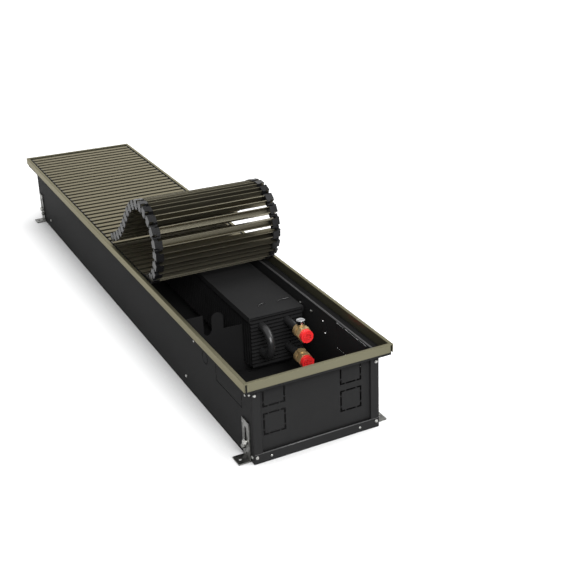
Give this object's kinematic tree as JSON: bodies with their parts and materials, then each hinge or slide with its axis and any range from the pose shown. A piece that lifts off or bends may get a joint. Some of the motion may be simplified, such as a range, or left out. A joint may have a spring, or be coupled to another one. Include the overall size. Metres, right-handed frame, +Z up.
{
  "type": "trench convector heater",
  "caption": "Black trench convector heater for a floor, with finned water pipes, height feet and a bronze roll-up slat grille half rolled back.",
  "frame": {"origin": "on the floor under the middle of the casing's length and width", "axes": "+X across the trench towards the heat exchanger's side, +Y along the trench away from the pipe connections, +Z up through the grille"},
  "size_m": [0.2588, 1.3, 0.2903],
  "materials": {
    "black_coat": "matt black powder coat",
    "black_sheet": "matt black coated sheet",
    "bronze_rim": "satin bronze anodised",
    "bronze_slat": "satin bronze anodised",
    "black_plastic": "moulded black plastic",
    "black_fins": "matt black coated fins",
    "black_pipe": "black coated copper tube",
    "brass": "turned brass",
    "red_plastic": "moulded red plastic",
    "chrome": "plated, polished",
    "zinc": "galvanised",
    "screw": "zinc plated"
  },
  "bodies": {
    "trough": {"casing": "black_coat", "end_panels": "black_coat", "rim_bars": "bronze_rim", "fin_block": "black_fins", "exchanger_cover": "black_sheet", "pipes": "black_pipe", "valve_bodies": "brass", "cross_brackets": "black_sheet", "fasteners": "screw"},
    "grille_flat": {"flat_slats": "bronze_slat", "flat_links": "black_plastic"},
    "roll_01": {"roll_slat_01": "bronze_slat", "roll_links_01": "black_plastic"},
    "roll_02": {"roll_slat_02": "bronze_slat", "roll_links_02": "black_plastic"},
    "roll_03": {"roll_slat_03": "bronze_slat", "roll_links_03": "black_plastic"},
    "roll_04": {"roll_slat_04": "bronze_slat", "roll_links_04": "black_plastic"},
    "roll_05": {"roll_slat_05": "bronze_slat", "roll_links_05": "black_plastic"},
    "roll_06": {"roll_slat_06": "bronze_slat", "roll_links_06": "black_plastic"},
    "roll_07": {"roll_slat_07": "bronze_slat", "roll_links_07": "black_plastic"},
    "roll_08": {"roll_slat_08": "bronze_slat", "roll_links_08": "black_plastic"},
    "roll_09": {"roll_slat_09": "bronze_slat", "roll_links_09": "black_plastic"},
    "roll_10": {"roll_slat_10": "bronze_slat", "roll_links_10": "black_plastic"},
    "roll_11": {"roll_slat_11": "bronze_slat", "roll_links_11": "black_plastic"},
    "roll_12": {"roll_slat_12": "bronze_slat", "roll_links_12": "black_plastic"},
    "roll_13": {"roll_slat_13": "bronze_slat", "roll_links_13": "black_plastic"},
    "roll_14": {"roll_slat_14": "bronze_slat", "roll_links_14": "black_plastic"},
    "roll_15": {"roll_slat_15": "bronze_slat", "roll_links_15": "black_plastic"},
    "roll_16": {"roll_slat_16": "bronze_slat", "roll_links_16": "black_plastic"},
    "roll_17": {"roll_slat_17": "bronze_slat", "roll_links_17": "black_plastic"},
    "roll_18": {"roll_slat_18": "bronze_slat", "roll_links_18": "black_plastic"},
    "roll_19": {"roll_slat_19": "bronze_slat", "roll_links_19": "black_plastic"},
    "roll_20": {"roll_slat_20": "bronze_slat", "roll_links_20": "black_plastic"},
    "roll_21": {"roll_slat_21": "bronze_slat", "roll_links_21": "black_plastic"},
    "roll_22": {"roll_slat_22": "bronze_slat", "roll_links_22": "black_plastic"},
    "flow_cap": {"flow_cap": "red_plastic"},
    "return_cap": {"return_cap": "red_plastic"},
    "air_vent": {"air_vent": "chrome"},
    "left_feet": {"left_feet": "zinc"},
    "right_feet": {"right_feet": "zinc"}
  },
  "joints": [
    {"name": "grille_lift", "type": "slide", "parent": "trough", "child": "grille_flat", "axis": [0, 0, 1], "range_m": [0, 0.05]},
    {"name": "unroll_01", "type": "hinge", "parent": "grille_flat", "child": "roll_01", "pos_m": [0, -0.18095, 0.1414], "axis": [1, 0, 0], "range_deg": [0, 11.94]},
    {"name": "unroll_02", "type": "hinge", "parent": "roll_01", "child": "roll_02", "pos_m": [0, -0.2014, 0.14572], "axis": [1, 0, 0], "range_deg": [0, 9.93]},
    {"name": "unroll_03", "type": "hinge", "parent": "roll_02", "child": "roll_03", "pos_m": [0, -0.22079, 0.15351], "axis": [1, 0, 0], "range_deg": [0, 12.52]},
    {"name": "unroll_04", "type": "hinge", "parent": "roll_03", "child": "roll_04", "pos_m": [0, -0.23804, 0.16531], "axis": [1, 0, 0], "range_deg": [0, 14.76]},
    {"name": "unroll_05", "type": "hinge", "parent": "roll_04", "child": "roll_05", "pos_m": [0, -0.25171, 0.18112], "axis": [1, 0, 0], "range_deg": [0, 16.59]},
    {"name": "unroll_06", "type": "hinge", "parent": "roll_05", "child": "roll_06", "pos_m": [0, -0.2603, 0.20018], "axis": [1, 0, 0], "range_deg": [0, 17.96]},
    {"name": "unroll_07", "type": "hinge", "parent": "roll_06", "child": "roll_07", "pos_m": [0, -0.26259, 0.22095], "axis": [1, 0, 0], "range_deg": [0, 18.82]},
    {"name": "unroll_08", "type": "hinge", "parent": "roll_07", "child": "roll_08", "pos_m": [0, -0.25805, 0.24135], "axis": [1, 0, 0], "range_deg": [0, 19.16]},
    {"name": "unroll_09", "type": "hinge", "parent": "roll_08", "child": "roll_09", "pos_m": [0, -0.24707, 0.25914], "axis": [1, 0, 0], "range_deg": [0, 18.96]},
    {"name": "unroll_10", "type": "hinge", "parent": "roll_09", "child": "roll_10", "pos_m": [0, -0.23091, 0.27239], "axis": [1, 0, 0], "range_deg": [0, 18.22]},
    {"name": "unroll_11", "type": "hinge", "parent": "roll_10", "child": "roll_11", "pos_m": [0, -0.21142, 0.27993], "axis": [1, 0, 0], "range_deg": [0, 16.98]},
    {"name": "unroll_12", "type": "hinge", "parent": "roll_11", "child": "roll_12", "pos_m": [0, -0.19057, 0.28144], "axis": [1, 0, 0], "range_deg": [0, 15.26]},
    {"name": "unroll_13", "type": "hinge", "parent": "roll_12", "child": "roll_13", "pos_m": [0, -0.17006, 0.27741], "axis": [1, 0, 0], "range_deg": [0, 13.12]},
    {"name": "unroll_14", "type": "hinge", "parent": "roll_13", "child": "roll_14", "pos_m": [0, -0.151, 0.26883], "axis": [1, 0, 0], "range_deg": [0, 10.6]},
    {"name": "unroll_15", "type": "hinge", "parent": "roll_14", "child": "roll_15", "pos_m": [0, -0.13385, 0.25689], "axis": [1, 0, 0], "range_deg": [0, 7.79]},
    {"name": "unroll_16", "type": "hinge", "parent": "roll_15", "child": "roll_16", "pos_m": [0, -0.11847, 0.24274], "axis": [1, 0, 0], "range_deg": [0, 4.71]},
    {"name": "unroll_17", "type": "hinge", "parent": "roll_16", "child": "roll_17", "pos_m": [0, -0.10431, 0.22737], "axis": [1, 0, 0], "range_deg": [-0.285, 0]},
    {"name": "unroll_18", "type": "hinge", "parent": "roll_17", "child": "roll_18", "pos_m": [0, -0.09007, 0.21207], "axis": [1, 0, 0], "range_deg": [-4.24, 0]},
    {"name": "unroll_19", "type": "hinge", "parent": "roll_18", "child": "roll_19", "pos_m": [0, -0.07474, 0.19786], "axis": [1, 0, 0], "range_deg": [-5.8, 0]},
    {"name": "unroll_20", "type": "hinge", "parent": "roll_19", "child": "roll_20", "pos_m": [0, -0.05805, 0.18528], "axis": [1, 0, 0], "range_deg": [-6.27, 0]},
    {"name": "unroll_21", "type": "hinge", "parent": "roll_20", "child": "roll_21", "pos_m": [0, -0.04009, 0.17459], "axis": [1, 0, 0], "range_deg": [-5.57, 0]},
    {"name": "unroll_22", "type": "hinge", "parent": "roll_21", "child": "roll_22", "pos_m": [0, -0.02118, 0.1657], "axis": [1, 0, 0], "range_deg": [-3.82, 0]},
    {"name": "flow_cap_pull", "type": "slide", "parent": "trough", "child": "flow_cap", "axis": [0, -1, 0], "range_m": [0, 0.03]},
    {"name": "return_cap_pull", "type": "slide", "parent": "trough", "child": "return_cap", "axis": [0, -1, 0], "range_m": [0, 0.03]},
    {"name": "vent_turn", "type": "hinge", "parent": "trough", "child": "air_vent", "pos_m": [0.069, -0.441, 0.115], "axis": [0, 0, 1], "range_deg": [0, 360]},
    {"name": "left_feet_down", "type": "slide", "parent": "trough", "child": "left_feet", "axis": [0, 0, -1], "range_m": [0, 0.022]},
    {"name": "right_feet_down", "type": "slide", "parent": "trough", "child": "right_feet", "axis": [0, 0, -1], "range_m": [0, 0.022]}
  ],
  "couplings": [
    {"joint": "unroll_15", "follows": "unroll_14", "ratio": 0.73499},
    {"joint": "unroll_16", "follows": "unroll_14", "ratio": 0.44419},
    {"joint": "unroll_17", "follows": "unroll_14", "ratio": -0.026782},
    {"joint": "unroll_18", "follows": "unroll_14", "ratio": -0.39989},
    {"joint": "unroll_19", "follows": "unroll_14", "ratio": -0.54685},
    {"joint": "unroll_20", "follows": "unroll_14", "ratio": -0.59135},
    {"joint": "unroll_21", "follows": "unroll_14", "ratio": -0.52503},
    {"joint": "unroll_22", "follows": "unroll_14", "ratio": -0.36033}
  ]
}
